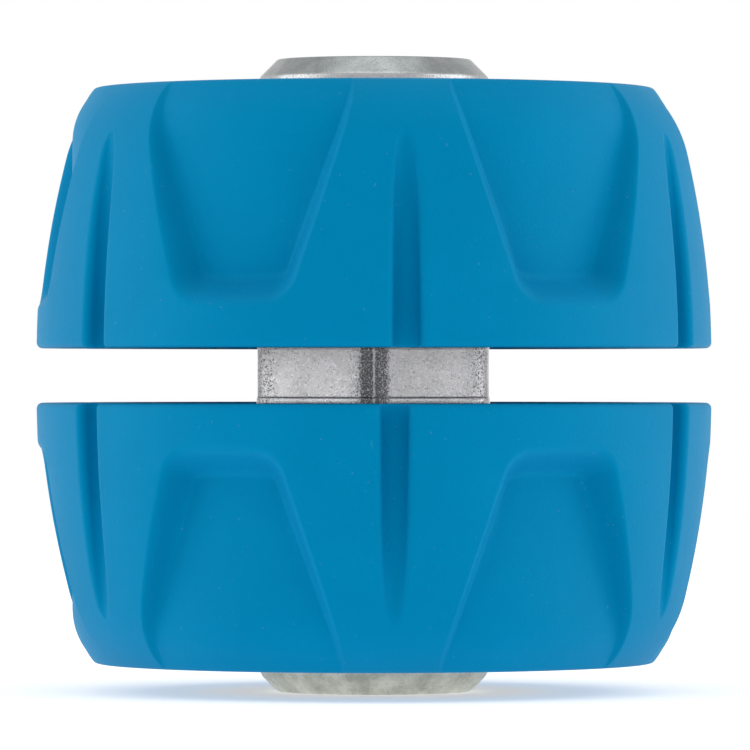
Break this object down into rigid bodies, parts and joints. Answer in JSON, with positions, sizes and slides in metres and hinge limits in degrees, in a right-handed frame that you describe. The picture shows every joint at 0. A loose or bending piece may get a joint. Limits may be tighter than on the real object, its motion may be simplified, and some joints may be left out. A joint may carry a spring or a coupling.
{
  "type": "hose mender",
  "caption": "Hose mender with a cast core, a hose tail and a fluted screw-on nut at each end, and slotted grip rings that clamp the hose.",
  "frame": {"origin": "middle of the core, halfway between the tips of the two hose tails and on their common axis", "axes": "+Z along the waterway towards the tip of the upper hose tail, -Y towards the side that the picture shows, +X to its right"},
  "size_m": [0.0472, 0.0472, 0.0442],
  "materials": {
    "zinc": "bare grey zinc die casting, satin with a fine grain and small pits",
    "grip_plastic": "plain moulded light grey plastic",
    "nut_plastic": "satin moulded blue plastic with a fine grain"
  },
  "bodies": {
    "core": {"core": "zinc"},
    "upper_grip_ring": {"upper_grip_ring": "grip_plastic"},
    "lower_grip_ring": {"lower_grip_ring": "grip_plastic"},
    "upper_nut": {"upper_nut": "nut_plastic"},
    "lower_nut": {"lower_nut": "nut_plastic"}
  },
  "joints": [
    {"name": "upper_ring_rise", "type": "slide", "parent": "core", "child": "upper_grip_ring", "axis": [0, 0, 1], "range_m": [0, 0.0075]},
    {"name": "upper_nut_turn", "type": "hinge", "parent": "upper_grip_ring", "child": "upper_nut", "pos_m": [0, 0, 0.011], "axis": [0, 0, 1], "range_deg": [0, 900]},
    {"name": "lower_ring_rise", "type": "slide", "parent": "core", "child": "lower_grip_ring", "axis": [0, 0, -1], "range_m": [0, 0.0075]},
    {"name": "lower_nut_turn", "type": "hinge", "parent": "lower_grip_ring", "child": "lower_nut", "pos_m": [0, 0, -0.011], "axis": [0, 0, -1], "range_deg": [0, 900]}
  ],
  "couplings": [
    {"joint": "upper_ring_rise", "follows": "upper_nut_turn", "m_per_rad": 0.00047746},
    {"joint": "lower_ring_rise", "follows": "lower_nut_turn", "m_per_rad": 0.00047746}
  ]
}
